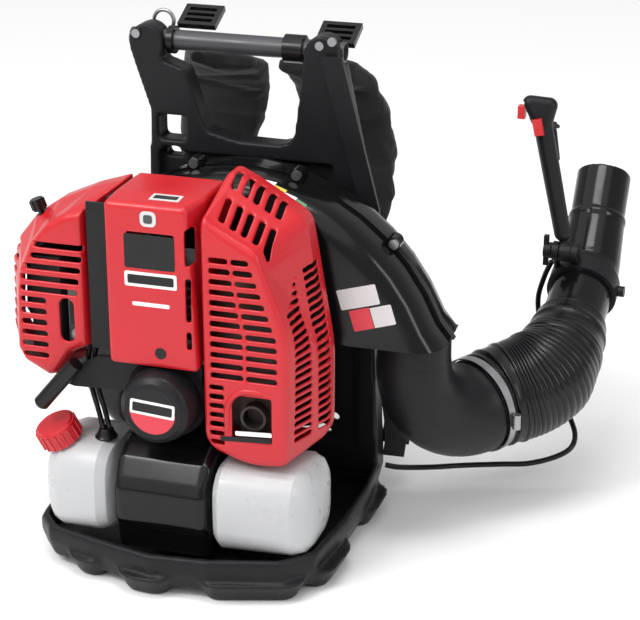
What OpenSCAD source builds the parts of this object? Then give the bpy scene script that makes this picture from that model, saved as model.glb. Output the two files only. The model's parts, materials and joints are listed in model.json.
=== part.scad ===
// Backpack leaf blower: an engine and fan on a moulded back frame, with a
// jointed blowing duct on the right and a throttle handle on the duct.
// X points to the right seen from the engine side, Y from the engine towards
// the wearer's back, Z up. The origin is on the floor below the crankshaft.

/* [Engine and fan] */
// Height of the crankshaft above the floor
crank_z = 188; // [184:1:192]
// Radius of the fan scroll where the air leaves it
scroll_r = 252; // [248:1:254]
// How fast the scroll closes in, per degree
scroll_close = 0.0028; // [0.0027:0.00001:0.0029]
// Radius of the fan wheel
fan_r = 80; // [70:1:80]
// Number of fan blades
blades = 14; // [8:1:20]
// Number of cooling fins on the cylinder
fins = 8; // [5:1:8]

/* [Duct] */
// Distance of the duct outlet from the crankshaft, sideways
duct_x = 212; // [210:1:213]
// Middle of the duct outlet, front to back
duct_y = 30; // [29:1:31]
// Outer radius of the outlet neck
neck_r = 34.5; // [33.5:0.5:35]
// Bend radius of the elbow
bend_r = 76.5; // [76:0.5:78]
// Radius of the blowing pipe at its clamp end
pipe_r = 34; // [32:1:35]
// Number of ribs on the flexible pipe
ribs = 14; // [8:1:16]

/* [Frame] */
// Height of the carry bar's centre line
bar_z = 488; // [484:1:492]
// Radius of the carry bar
bar_r = 10.5; // [9:0.5:11]
// Thickness of the upright panel
panel_t = 10; // [8:1:12]

/* [Fits] */
// Running clearance between a shaft and its bore, on the radius
run = 0.05; // [0.02:0.01:0.08]

/* [Hidden] */
$fn = 64;

red = [0.84, 0.17, 0.2];
black = [0.08, 0.08, 0.09];
matte = [0.17, 0.17, 0.18];
steel = [0.6, 0.6, 0.62];
milky = [0.86, 0.87, 0.86];

// ---- geometry helpers ----
function unit(v) = v / norm(v);
function mix(a, b, t) = a + (b - a) * t;
function bezier(p, u) = let (v = 1 - u)
  v * v * v * p[0] + 3 * v * v * u * p[1] + 3 * v * u * u * p[2] + u * u * u * p[3];
function bezier_dir(p, u) = let (v = 1 - u)
  unit(v * v * (p[1] - p[0]) + 2 * v * u * (p[2] - p[1]) + u * u * (p[3] - p[2]));
// A circle of n points about centre c, square to direction d
function ring(c, d, r, n = 32, up = [0.31, -0.9, 0.3]) = let (e = unit(cross(up, d)), f = cross(unit(d), e))
  [for (i = [0:n - 1]) let (a = 360 * i / n) c + r * (cos(a) * e + sin(a) * f)];
// A rounded rectangle of width w and height h, k points to a corner
function round_rect(w, h, r, k = 4) =
  [for (c = [0:3], i = [0:k]) let (a = 90 * c + 90 * i / k)
    [((c == 0 || c == 3) ? 1 : -1) * (w / 2 - r) + r * cos(a), ((c < 2) ? 1 : -1) * (h / 2 - r) +
      r * sin(a)]];
// Tangent of a list of points at one of them
function tangent(p, i) = unit(p[min(i + 1, len(p) - 1)] - p[max(i - 1, 0)]);

// A closed solid through rings of equal length that turn anticlockwise about their travel
module loft(rings) {
  n = len(rings[0]);
  m = len(rings);
  sides = [for (j = [0:m - 2], i = [0:n - 1], half = [0, 1]) let (a = j * n + i, b = j * n + (i + 1) % n)
    half == 0 ? [a, a + n, b + n] : [a, b + n, b]];
  ends = [[for (i = [0:n - 1]) i], [for (i = [n - 1:-1:0]) (m - 1) * n + i]];
  polyhedron([for (r = rings) each r], concat(sides, ends), convexity = 10);
}
// A ring-shaped solid through rings that lead back to the first, with each side split in two if it isn't flat
module loft_loop(rings, split = false) {
  n = len(rings[0]);
  m = len(rings);
  sides = [for (j = [0:m - 1], i = [0:n - 1]) let (a = j * n, b = ((j + 1) % m) * n, k = (i + 1) % n)
    each split ? [[a + i, b + i, b + k], [a + i, b + k, a + k]] : [[a + i, b + i, b + k, a + k]]];
  polyhedron([for (r = rings) each r], sides, convexity = 10);
}
// A round bar along hand-placed points
module tube_along(p, r, n = 10) loft([for (i = [0:len(p) - 1]) ring(p[i], tangent(p, i), r, n)]);
// A flat outline in X and Z, made thick from y0 to y1
module upright(y0, y1) translate([0, y1, 0]) rotate([90, 0, 0]) linear_extrude(y1 - y0) children();
// A cylinder along Y
module rod_y(x, z, y0, y1, r) translate([x, y1, z]) rotate([90, 0, 0]) cylinder(h = y1 - y0, r = r);
// A cylinder along a direction d from point c
module rod_along(c, d, h, r, r2 = -1)
  translate(c) rotate([0, acos(unit(d)[2]), atan2(d[1], d[0])]) cylinder(h = h, r1 = r, r2 = r2 < 0 ? r : r2);

// ---- fan scroll ----
outlet_top = 226;
function scroll_at(a) = scroll_r * exp(-scroll_close * a);
// Scroll outline in X and Z, anticlockwise from the outlet's right edge
scroll = concat(
  [[duct_x + 38, outlet_top]],
  [for (a = [13:8:365]) [scroll_at(a) * cos(a), crank_z + scroll_at(a) * sin(a)]],
  [[duct_x - 56, outlet_top]]);
// The outline at depth y, scaled by k so that its outlet edge stays level, and lifted by up
function scroll_ring(y, k, up = 0) =
  [for (i = [len(scroll) - 1:-1:0]) [k * scroll[i][0], y, outlet_top + up + k * (scroll[i][1] - outlet_top)]];
wall = 3;
flange_k = 1.016;
// Depth and scale of the outer walls and of the hollow inside them
front_outside = [[-22, 0.875], [-19, 0.93], [-13, 0.97], [-4, 0.992], [8, 1], [25, 1], [25.2, flange_k],
  [29.9, flange_k]];
front_inside = [[29.9, 0.97], [0, 0.962], [-10, 0.94], [-16, 0.91], [-18.9, 0.87]];
rear_outside = [[30.1, flange_k], [35, flange_k], [35.2, 1], [52, 1], [64, 0.992], [73, 0.97], [79, 0.93],
  [82, 0.875]];
rear_inside = [[78.9, 0.87], [76, 0.91], [70, 0.94], [60, 0.962], [30.1, 0.97]];
// A ring of the round opening in a side plate, with as many points as the scroll
function eye_ring(y, r, a0) = let (n = len(scroll))
  [for (i = [n - 1:-1:0]) let (a = a0 + 360 * i / n) [r * cos(a), y, crank_z + r * sin(a)]];
lug_angles = [35:30:215];
module case_lugs(y0, y1)
  for (a = lug_angles) let (r = scroll_at(a) + 3) rod_y(r * cos(a), crank_z + r * sin(a), y0, y1, 8);
module outlet_bore() translate([duct_x, duct_y, 190]) cylinder(h = 46, r = neck_r - 3);

module fan_case_front() color(black) difference() {
  union() {
    loft_loop(concat([for (p = front_outside) scroll_ring(p[0], p[1])],
      [for (p = front_inside) scroll_ring(p[0], p[1], wall)],
      [eye_ring(-18.9, 46, 62), eye_ring(-22, 46, 62)]));
    case_lugs(22, 29.8);
    for (x = [-45, 30]) translate([x - 13, 6, 60]) cube([26, 16, 18]);
  }
  outlet_bore();
  case_screw_rods(3);
}
module fan_case_rear() color(black) difference() {
  union() {
    loft_loop(concat([for (p = rear_outside) scroll_ring(p[0], p[1])],
      [eye_ring(82, 70, 38), eye_ring(78.9, 70, 38)],
      [for (p = rear_inside) scroll_ring(p[0], p[1], wall)]));
    case_lugs(30.2, 38);
    translate([duct_x, duct_y, neck_end]) cylinder(h = outlet_top - 0.2 - neck_end, r = neck_r);
    translate([duct_x - 37, 30.5, outlet_top - 1]) cube([74, 34, 2]);
  }
  outlet_bore();
  case_screw_rods(3);
}
neck_end = 198.2;
module case_screw_rods(r0)
  for (a = lug_angles) let (r = scroll_at(a) + 6) rod_y(r * cos(a), crank_z + r * sin(a), 15, 45, r0);
// Screws round the scroll's joint flange
module case_screws() color(steel) {
  intersection() {
    case_screw_rods(2.9);
    translate([-300, 21, 0]) cube([600, 18, 600]);
  }
  for (a = lug_angles) let (r = scroll_at(a) + 6) rod_y(r * cos(a), crank_z + r * sin(a), 18, 21.9, 5);
}
module intake_grille() color(matte) {
  difference() {
    rod_y(0, crank_z, 82.2, 85.4, 78);
    rod_y(0, crank_z, 82, 86, 68);
  }
  for (r = [18, 36, 54])
    difference() {
      rod_y(0, crank_z, 82.2, 85.4, r + 2);
      rod_y(0, crank_z, 82, 86, r - 2);
    }
  for (a = [0:45:135]) translate([0, 83.8, crank_z]) rotate([0, a, 0]) cube([140, 3.2, 4], center = true);
}

// ---- rotating parts ----
module impeller() color(matte) difference() {
  union() {
    rod_y(0, crank_z, -6, -3, fan_r);
    rod_y(0, crank_z, -6, 50, 17);
    for (i = [0:blades - 1]) translate([0, 0, crank_z]) rotate([0, 360 * i / blades, 0])
      translate([fan_r - 26, 20, 0]) rotate([0, 28, 0]) cube([46, 49, 2.4], center = true);
  }
  rod_y(0, crank_z, -10, 60, 8);
}
module flywheel() color(steel) difference() {
  union() {
    rod_y(0, crank_z, -17, -6.2, 42);
    for (s = [-1, 1]) translate([s * 34, -11.6, crank_z]) cube([12, 10, 20], center = true);
  }
  rod_y(0, crank_z, -20, 0, 8);
}
web_y = [[-86, -78], [-64, -56]];
module crankshaft() color(steel) {
  rod_y(0, crank_z, -112, -86, 8);
  rod_y(0, crank_z, -56, 54, 8);
  for (w = web_y) rod_y(0, crank_z, w[0], w[1], 30);
  rod_y(0, crank_z + 17, -78, -77, 8);
  rod_y(0, crank_z + 17, -65, -64, 8);
}
module bearings() color(steel)
  for (y = [[-103, -94], [-48, -38]]) difference() {
    rod_y(0, crank_z, y[0], y[1], 17);
    rod_y(0, crank_z, y[0] - 1, y[1] + 1, 8 + run);
  }
module crankcase() color([0.5, 0.5, 0.52]) difference() {
  union() {
    rod_y(0, crank_z, -105.6, -22.2, 41);
    translate([-37, -104, crank_z]) cube([74, 68, 41.2]);
    for (s = [-1, 1]) translate([s * 52 - 9, -34, crank_z - 28]) cube([18, 11.8, 56]);
    translate([-52, -34, crank_z - 8]) cube([104, 11.8, 16]);
  }
  rod_y(0, crank_z, -93.9, -48.1, 34);
  for (y = [[-103, -93], [-49, -38]]) rod_y(0, crank_z, y[0], y[1], 17);
  rod_y(0, crank_z, -110, -20, 10);
  translate([0, -71, crank_z]) cylinder(h = 60, r = 26);
}
module ignition_coil() color(black) {
  translate([-14, -17.8, crank_z + 46]) cube([28, 9, 24]);
  for (s = [-1, 1]) translate([s * 9 - 3, -16.8, crank_z + 43]) cube([6, 7, 3]);
}

// ---- cylinder group ----
head_z = 318;
deck_z = crank_z + 41.4;
module cylinder_block() {
  translate([0, -71, deck_z]) cylinder(h = head_z - deck_z, r = 31);
  translate([-35, -105.6, deck_z]) cube([70, 69.6, 5]);
  for (i = [0:fins - 1]) translate([-35, -106, 247 + i * 9]) cube([70, 70, 2]);
  translate([-3, -112, 233]) cube([14, 16, 16]);
}
module cylinder_body() color([0.62, 0.62, 0.64]) difference() {
  cylinder_block();
  translate([0, -71, crank_z + 30]) cylinder(h = 300 - crank_z - 30, r = 25);
  translate([0, -71, 290]) cylinder(h = 60, r = 5);
  translate([30, -71, 262]) rotate([0, 90, 0]) cylinder(h = 40, r = 10, center = true);
  rod_y(4, 243, -120, -100, 2.9);
}
module piston() color(steel) difference() {
  translate([0, -71, 264]) cylinder(h = 32, r = 25 - run);
  translate([0, -71, 263]) cylinder(h = 26, r = 20);
}
module connecting_rod() color(steel) {
  difference() {
    union() {
      rod_y(0, crank_z + 17, -75, -67, 13);
      translate([-5, -75, crank_z + 28]) cube([10, 8, 50]);
      rod_y(0, 276, -75, -67, 9);
    }
    rod_y(0, crank_z + 17, -80, -60, 10);
  }
  rod_y(0, 276, -90, -52, 5);
}
module spark_plug() color([0.9, 0.9, 0.88]) {
  translate([0, -71, 296.5]) cylinder(h = head_z - 296.5, r = 4.9);
  translate([0, -71, head_z + 0.1]) cylinder(h = 8, r = 9, $fn = 6);
  translate([0, -71, head_z + 8]) cylinder(h = 20, r = 5);
}
module plug_cap() color(black) difference() {
  union() {
    translate([0, -71, head_z + 12]) cylinder(h = 24, r = 9);
    translate([0, -71, head_z + 28]) rotate([0, -90, 0]) cylinder(h = 26, r = 6);
  }
  translate([0, -71, head_z + 8]) cylinder(h = 20.2, r = 5.1);
}
// Black cowl that leads cooling air to the cylinder, seen between two covers
module engine_shroud() color(matte) difference() {
  union() {
    translate([-76.5, -113.5, 232]) cube([25.5, 3, 150]);
    translate([-55, -112, 232]) cube([3.6, 72, 156]);
  }
  translate([-90, -88, 244]) cube([60, 36, 36]);
}
function muffler_ring(x, g) = [for (q = round_rect(64 - 2 * g, 160 - 2 * g, 14 - min(g, 8))) [x, -74 +
  q[0], 238 + q[1]]];
module muffler() color([0.45, 0.43, 0.42]) difference() {
  union() {
    loft([for (p = [[46, 8], [50, 1], [54, 0], [104, 0], [109, 2], [112, 8]]) muffler_ring(p[0], p[1])]);
    translate([38.2, -86, 250]) cube([12, 30, 26]);
  }
  loft([for (p = [[50, 8], [54, 3], [104, 3], [108, 8]]) muffler_ring(p[0], p[1])]);
  translate([30, -71, 262]) rotate([0, 90, 0]) cylinder(h = 24, r = 10);
  rod_y(exhaust[0], exhaust[1], -110, -98, 9);
}
exhaust = [93, 182];
module exhaust_outlet() color([0.7, 0.68, 0.66]) {
  difference() {
    rod_y(exhaust[0], exhaust[1], -122, -106.2, 13);
    rod_y(exhaust[0], exhaust[1], -123, -108, 10.5);
  }
  difference() {
    translate([exhaust[0] - 17, -110, exhaust[1] - 20]) cube([34, 3.8, 40]);
    rod_y(exhaust[0], exhaust[1], -120, -107, 12);
  }
}
module carburettor() color([0.66, 0.66, 0.68]) difference() {
  union() {
    translate([-98, -92, 248]) cube([25.8, 34, 34]);
    translate([-73, -71, 262]) rotate([0, 90, 0]) cylinder(h = 37, r = 9);
    translate([-108, -96, 228]) cube([30, 4, 56]);
  }
  rod_y(-97, 238, -100, -80, 7.4);
  rod_y(-97, 270, -100, -88, 3.5 + run);
}
module choke_lever() color(matte) {
  rod_y(-97, 270, -108, -91, 3.5);
  translate([-100, -110, 252]) cube([6, 3, 24]);
}
bulb_profile = [[0, 0], [7, 0], [7, 10], [6.3, 12.6], [4.4, 14.7], [2, 15.6], [0, 15.8]];
module purge_bulb() color([0.75, 0.75, 0.7]) translate([-97, -90, 238]) rotate([90, 0, 0])
  rotate_extrude($fn = 48) polygon(bulb_profile);
module air_filter() color([0.25, 0.26, 0.25]) translate([-146, -99, 218]) cube([32, 60, 98]);

// ---- red covers: front outline, back outline and depth ----
function at_y(outline, y) = [for (i = [len(outline) - 1:-1:0]) [outline[i][0], y, outline[i][1]]];
// Points on an arc about (x, z)
function arc(x, z, r, a0, a1, k = 4) = [for (i = [0:k])
  let (a = mix(a0, a1, i / k)) [x + r * cos(a), z + r * sin(a)]];
// An outline drawn in by g towards a middle point
function inset(outline, c, g) = [for (p = outline) p + unit(c - p) * g];
// A closed outline with its corners cut back, at most reach along each side
function cut_corners(p, reach) = [for (i = [0:len(p) - 1])
  let (a = p[i], b = p[(i + 1) % len(p)], k = min(0.25, reach / norm(b - a)))
  each [mix(a, b, k), mix(b, a, k)]];
function softened(p) = cut_corners(cut_corners(p, 9), 4);
// Rings of a crowned shell: a front edge of radius r round the face outline, then back to the last outline
function crowned(face, back, mid, y0, r, wall, y1, y2) = concat(
  [for (t = [0:30:90]) at_y(inset(face, mid, wall + r * (1 - sin(t))), y0 + wall + r * (1 - cos(t)))],
  [at_y(inset(back, mid, wall), y1), at_y(inset(back, mid, wall), y2)]);
left_face = [[-80, 233], [-80, 373], [-98, 369], [-118, 357], [-138, 334], [-151, 306], [-155, 280],
  [-156, 222], [-149, 209], [-124, 196], [-116, 198], [-98, 224]];
left_back = [[-58, 234], [-58, 390], [-92, 379], [-128, 363], [-154, 345], [-174, 320], [-183, 296],
  [-186, 228], [-172, 206], [-132, 191], [-112, 195], [-82, 224]];
left_mid = [-115, 285];
knob_dir = unit([-0.3, -0.1, 0.95]);
knob_at = [-143, -62, 334];
module left_cover() color(red) difference() {
  loft(crowned(left_face, left_back, left_mid, -118, 9, 0, -60, -38));
  loft(crowned(left_face, left_back, left_mid, -118, 9, 3.4, -60, -20));
  for (i = [0:10]) let (x0 = i < 9 ? -149 : -136, x1 = i < 6 ? -122 : -82)
    translate([x0, -130, 216 + 11.6 * i]) cube([(i < 6 ? x1 : min(-100, x1)) - x0, 18, 5]);
  for (i = [6:10]) translate([-108 + (i - 6) * 2, -130, 216 + 11.6 * i]) cube([20, 18, 5]);
  for (i = [0:8]) translate([-195, -104, 218 + 11.6 * i]) cube([26, 50, 5]);
  for (z = [244, 274]) rod_y(-100, z, -130, -105, 7.5);
  translate([-107.5, -130, 244]) cube([15, 25, 30]);
  translate([-92, -100, 240]) cube([60, 64, 50]);
  translate([-101, -104, 180]) cube([23, 41, 56]);
  rod_along(knob_at, knob_dir, 30, 3 + run);
}
// Knob that holds the left cover on
module cover_knob() color(black) {
  rod_along(knob_at, knob_dir, 20, 3);
  rod_along(knob_at + 18 * knob_dir, knob_dir, 12, 6.5);
  for (i = [0:7]) rod_along(knob_at + 19 * knob_dir + ring([0, 0, 0], knob_dir, 6.5, 8)[i], knob_dir, 10,
    1.4);
}
centre_front = [[-50, 226], [41, 226], [34, 392], [-50, 392]];
centre_back = [[-50, 232], [40.4, 232], [41.5, 394], [-50, 394]];
centre_mid = [-5, 310];
module centre_cover() color(red) difference() {
  loft(crowned(cut_corners(centre_front, 3), cut_corners(centre_back, 3), centre_mid, -133, 6, 0, -100, -46));
  loft([at_y([[-47, 200], [38, 200], [31, 385], [-47, 385]], -129.5),
    at_y([[-47, 200], [37.4, 200], [37.5, 390], [-47, 390]], -100),
      at_y([[-47, 200], [37.4, 200], [38.5, 391], [-47, 391]], -40)]);
  for (z = [[250, 268], [278, 322], [334, 370]]) translate([31, -145, z[0]]) cube([5, 30, z[1] - z[0]]);
  for (z = [[262, 300], [312, 350]]) translate([-47.5, -145, z[0]]) cube([2.4, 30, z[1] - z[0]]);
  translate([-27, -145, 334]) cube([48, 30, 30]);
  rod_y(4, 243, -140, -120, 3);
  rod_y(4, 243, -140, -131.4, 5.4);
  translate([-60, -84, 249]) cube([20, 28, 27]);
  translate([30, -90, 246]) cube([20, 38, 34]);
}
right_face = concat([[43.6, 147], [88, 131]], arc(118, 145, 12, 280, 350, 2), [[132.5, 266]],
  arc(86, 340, 18, 15, 70, 3), [[56, 376], [43.6, 386]]);
right_back = concat([[43.6, 146], [88, 134]], arc(134, 154, 16, 280, 350, 2), [[150, 236]],
  arc(108, 354, 22, 15, 60, 3), [[72, 401], [47, 412]]);
right_mid = [88, 250];
module right_cover() color(red) difference() {
  loft(crowned(softened(right_face), softened(right_back), right_mid, -127, 9, 0, -62, -38));
  loft(crowned(softened(right_face), softened(right_back), right_mid, -127, 9, 3.4, -62, -20));
  for (i = [0:11]) let (z = 222 + 10.6 * i, x1 = 122 - max(0, z - 262) * 0.36, m = (52 + x1) / 2) {
    translate([52, -135, z]) cube([m - 54, 20, 5]);
    translate([m + 1, -135, z]) cube([x1 - m - 4, 20, 5]);
  }
  for (i = [0:6]) translate([50, -135, 152 + 9.6 * i]) cube([15, 20, 4.6]);
  for (i = [0:20], y = [-112, -76]) let (lean = min(20, 4 * max(0, i - 8)))
    translate([124, y, 158 + 8.2 * i - 0.25 * lean]) rotate([0, -lean, 0]) cube([44, 26, 4]);
  for (i = [0:4], y = [-114, -78]) translate([58 + 11 * i, y, 330]) cube([5.4, 26, 90]);
  translate([exhaust[0] - 20, -135, exhaust[1] - 22]) cube([40, 20, 46]);
  translate([40, -114, 152]) cube([8, 90, 200]);
}
module cover_screws() color(steel) {
  rod_y(4, 243, -131.4, -104, 2.85);
  rod_y(4, 243, -132.6, -131.4, 5);
}
// ---- starter ----
starter_profile = [[0, 0], [42, 0], [42, 6], [38, 11], [36.8, 30], [34.5, 38], [29, 43], [0, 43]];
rope_at = [-106, 196];
module starter_housing() color(black) difference() {
  union() {
    translate([0, -105.8, crank_z]) rotate([90, 0, 0]) rotate_extrude($fn = 64) polygon(starter_profile);
    upright(-112, -106) polygon([[-106, 189], [-98, 187], [-30, 190], [38, 206], [38, 224], [-46, 224],
      [-72, 222], [-104, 203]]);
    rod_y(rope_at[0], rope_at[1], -114, -104, 7);
  }
  difference() {
    rod_y(0, crank_z, -140, -100, 33);
    rod_y(0, crank_z, -141, -119, 6);
  }
  rod_y(rope_at[0], rope_at[1], -120, -100, 3);
}
module starter_pulley() color(milky) difference() {
  rod_y(0, crank_z, -137, -122, 27);
  rod_y(0, crank_z, -138, -110, 6 + run);
  translate([0, -129, crank_z]) rotate([90, 0, 0]) rotate_extrude() translate([28, 0])
    circle(r = 3.5, $fn = 24);
}
module starter_rope() color(milky) rod_y(rope_at[0], rope_at[1], -120.8, -104, 2);
module starter_grip() color(matte) {
  rod_along([-127, -129, 172], [35, 0, 42], 62, 8);
  rod_along([-127, -129, 172], [-35, 0, -42], 2.5, 8, 6);
}

// ---- fuel tank ----
// Cross sections of the tank from left to right: x, y middle, z middle, depth, height
tank_rings = [[-124, -96, 86, 58, 54], [-121, -96, 86, 80, 76], [-115, -96, 86, 94, 90],
  [-106, -96, 86, 102, 96],
  [-66, -96, 86, 102, 96], [-57, -94, 85, 94, 88], [-50, -86, 70, 66, 60], [52, -86, 70, 66, 60],
    [55, -92, 82, 90, 82],
  [62, -93, 82, 102, 90], [134, -90, 82, 98, 90], [144, -88, 81, 88, 82], [149, -86, 80, 72, 68],
    [151, -86, 80, 50, 46]];
function tank_ring(t, g) = [for (q = round_rect(t[3] - 2 * g, t[4] - 2 * g, min(t[3], t[4]) * 0.32,
  5)) [t[0], t[1] + q[0], t[2] + q[1]]];
neck = [-104, -112, 112];
neck_dir = [-0.3, -0.3, 0.9];
module fuel_tank() color(milky) difference() {
  union() {
    loft([for (t = tank_rings) tank_ring(t, 0)]);
    rod_along(neck, neck_dir, 30, 16);
  }
  loft([for (i = [1:len(tank_rings) - 2]) tank_ring(tank_rings[i], 2.6)]);
  rod_along(neck - 20 * neck_dir, neck_dir, 50, 12);
  translate([-68, -112, 110]) cylinder(h = 40, r = 6);
}
module fuel_cap() color(red) difference() {
  union() {
    rod_along(neck + 22.4 * neck_dir, neck_dir, 18, 21);
    rod_along(neck + 39.4 * neck_dir, neck_dir, 3, 20.4, 18);
    for (i = [0:17]) rod_along(neck + 22.5 * neck_dir + ring([0, 0, 0], neck_dir, 21, 18)[i], neck_dir, 16,
      1.4);
  }
  rod_along(neck + 10 * neck_dir, neck_dir, 21.5, 16 + 0.4);
}
module tank_saddle() color(black) {
  difference() {
    loft([for (s = [[-48, 7], [-46, 2], [-42, 0], [42, 0], [47, 2], [50, 7]])
      at_x(saddle_outline(s[1]), s[0])]);
    loft([for (x = [-60, 70]) at_x(saddle_inside, x)]);
  }
}
function at_x(outline, x) = [for (p = outline) [x, p[0], p[1]]];
function saddle_outline(g) = [[-136 + g, 30], [-34 - g, 30], [-34 - g, 126 - g], [-52 - g, 137 - g],
  [-78, 141 - g],
  [-104, 139 - g], [-126, 126 - g], [-139 + g, 108 - g], [-144 + g, 96], [-143 + g, 62], [-136 + g, 54]];
saddle_inside = [[-122, 10], [-50, 10], [-50, 104], [-116, 104], [-122, 98]];
hose_path = [[-70, -110, 140], [-71, -110, 148], [-76, -107, 163], [-84, -101, 180], [-88, -97, 197],
  [-89, -95, 216],
  [-86.5, -86, 232], [-86.5, -84, 247]];
module fuel_hoses() color(black) {
  translate([-68, -108, 134.3]) cylinder(h = 10, r1 = 11, r2 = 7);
  for (s = [0, 1]) tube_along([for (p = hose_path) p + [s * 5.4, s * 3, 0]], 2.6, 8);
}
// ---- back frame ----
base = [[-142, -96], [-138, -122], [-120, -143], [-67, -159], [0, -174], [60, -168], [130, -148],
  [156, -120], [165, -40],
  [166, 36], [157, 112], [-112, 116], [-130, 40]];
function inside(p, g) = let (c = [10, -15]) p + unit(c - p) * g;
module base_slab(z, g, h) translate([0, 0, z]) linear_extrude(h) polygon([for (p = base) inside(p, g)]);
feet = [[[-74, -138], [-70, -139]], [[-14, -155], [2, -156]], [[66, -148], [124, -130]],
  [[146, -96], [148, -60]], [[150, 40], [150, 70]],
  [[-112, -70], [-112, -50]], [[-108, 50], [-102, 80]], [[0, 94], [30, 94]]];
panel_y = 96;
module panel_outline() polygon(concat(
  [[-102, 30], [158, 30], [152, 200], [146, 330], [128, 415], [118, 462]],
  arc(94, bar_z, 19, -10, 190, 8), [[72, 455], [66, 410]], arc(48, 408, 18, 350, 270, 3),
    [[0, 391], [-30, 398]],
  [[-38, 412], [-54, 462], [-79, 470]], arc(-96, bar_z, 19, -10, 190, 8),
    [[-108, 462], [-92, 415], [-96, 350]]));
// A scalloped foot between two points
module foot(f) loft([for (s = [[0, 14], [4, 16.5], [22, 26]]) pill(f[0], f[1], s[1], s[0])]);
function pill(a, b, r, z) = let (t = atan2(b[1] - a[1], b[0] - a[0]))
  concat([for (i = [0:8]) [b[0], b[1], z] + r * [cos(t - 90 + 22.5 * i), sin(t - 90 + 22.5 * i), 0]],
    [for (i = [0:8]) [a[0], a[1], z] + r * [cos(t + 90 + 22.5 * i), sin(t + 90 + 22.5 * i), 0]]);
module backframe() color(matte) difference() {
  union() {
    difference() {
      union() {
        hull() {
          base_slab(9, 6, 1);
          base_slab(28, 0, 12);
          base_slab(43, 2, 1);
        }
        for (f = feet) foot(f);
        translate([-14, -130, 0]) cube([28, 220, 18]);
      }
      hull() {
        base_slab(20, 13, 1);
        base_slab(60, 5, 1);
      }
    }
    difference() {
      upright(92, 120) panel_outline();
      translate([-92, 88, 60]) cube([226, panel_y + panel_t - 98, 260]);
      translate([-92, panel_y + panel_t, 60]) cube([226, 20, 280]);
      translate([-84, 88, 330]) cube([190, 14, 44]);
    }
  }
  rod_y(0, crank_z, 80, 130, 92);
  translate([-140, 112, bar_z]) rotate([0, 90, 0]) cylinder(h = 280, r = bar_r + 0.1);
  translate([-84, 80, 386]) cube([30, 60, 26]);
  translate([-80, 80, 366]) cube([20, 60, 13]);
  for (x = [-80, 108], z = [90, 290]) rod_y(x, z, 80, 130, 5);
  upright(80, 130) polygon([[-70, 70], [110, 70], [70, 100], [-40, 100]]);
}
module carry_bar() color(steel) translate([-118, 112, bar_z]) rotate([0, 90, 0]) difference() {
  cylinder(h = 232, r = bar_r);
  translate([0, 0, -1]) cylinder(h = 240, r = bar_r - 2);
}
module bar_sleeves() color(black)
  for (s = [[-76.4, 7], [50, 21]]) translate([s[0], 112, bar_z]) rotate([0, 90, 0]) difference() {
    cylinder(h = s[1], r = 14.5);
    translate([0, 0, -1]) cylinder(h = s[1] + 2, r = bar_r + 0.1);
  }
// Bolts that hold the two horns to the ends of the bar
module bar_bolts() color(steel)
  for (p = [[-105, 497], [93, 498], [106, 503]]) rod_y(p[0], p[1], 89, 91.9, 4.5);
module side_stay() color([0.25, 0.25, 0.27]) {
  hull() {
    translate([108, 86, 484]) cube([20, 5, 10], center = true);
    translate([150, 86, 330]) cube([17, 5, 8], center = true);
  }
  translate([142, 84.4, 319]) cube([16, 4, 10]);
  rod_y(108, 484, 88, 91.9, 5);
  rod_y(148, 334, 88, 91.9, 4);
}
module d_ring() color(steel) translate([-88, 126, bar_z + 16]) rotate([90, 0, 0]) rotate_extrude($fn = 32)
  translate([11, 0]) circle(r = 2, $fn = 16);
module strap_buckles() color(black)
  for (b = [[-52, 507], [98, 499]]) translate([b[0], 141, b[1]]) rotate([25, 0, 0]) difference() {
    cube([42, 34, 6], center = true);
    for (y = [-9, 0, 9]) translate([0, y, 0]) cube([30, 5, 10], center = true);
  }
// ---- soft parts ----
module back_pad() color(black) {
  difference() {
    loft([for (p = [[121, 14], [125, 3], [134, 0], [146, 3], [152, 16]])
      [for (q = round_rect(210 - 2 * p[1], 290 - 2 * p[1], 34 - p[1], 5)) [14 - q[0], p[0], 225 + q[1]]]]);
    rod_y(0, crank_z, 110, 180, 62);
  }
}
// Shoulder pad sections: x, y, z, width, thickness
pad_path = [[58, 148, 456, 86], [64, 176, 451, 98], [74, 206, 428, 106], [84, 226, 388, 108],
  [94, 230, 342, 98],
  [102, 218, 298, 80], [108, 198, 262, 60]];
harness_x = 12;
function pad_ring(i, s) =
  let (p = [for (q = pad_path) [harness_x + s * (q[0] - harness_x), q[1], q[2]]], d = tangent(p, i),
    e = unit(cross([1, 0, 0], d)),
    w = cross(e, d), h = 9)
  [for (q = round_rect(pad_path[i][3] - (i == 0 || i == len(p) - 1 ? 14 : 0), 2 * h, 8, 3)) p[i] +
    q[0] * w + q[1] * e];
module shoulder_pad(s) loft([for (i = [0:len(pad_path) - 1]) pad_ring(i, s)]);
module shoulder_pad_left() color(black) shoulder_pad(-1);
module shoulder_pad_right() color(black) shoulder_pad(1);
// Flat webbing from each pad to the foot of the frame
function web_ring(p, i, w, t) = let (d = tangent(p, i), e = unit(cross([1, 0, 0], d)), f = cross(e, d))
  [for (q = [[-w, -t], [w, -t], [w, t], [-w, t]]) p[i] + q[0] * f + q[1] * e];
right_web = [[110, 190, 249], [124, 182, 200], [142, 168, 140], [158, 150, 90], [166, 136, 60],
  [167, 123, 40]];
left_web = [[-86, 190, 249], [-92, 182, 200], [-98, 168, 140], [-100, 150, 90], [-100, 136, 60],
  [-100, 123, 40]];
module strap_webbing() color(black)
  for (p = [right_web, left_web]) loft([for (i = [0:len(p) - 1]) web_ring(p, i, 12, 1)]);
module av_mounts() color([0.12, 0.12, 0.12]) {
  for (x = [-45, 30]) translate([x, 17, 20.2]) cylinder(h = 39.6, r = 10);
  for (x = [-70, 70]) rod_y(x, 292, 82.2, 91.8, 11);
}

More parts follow.
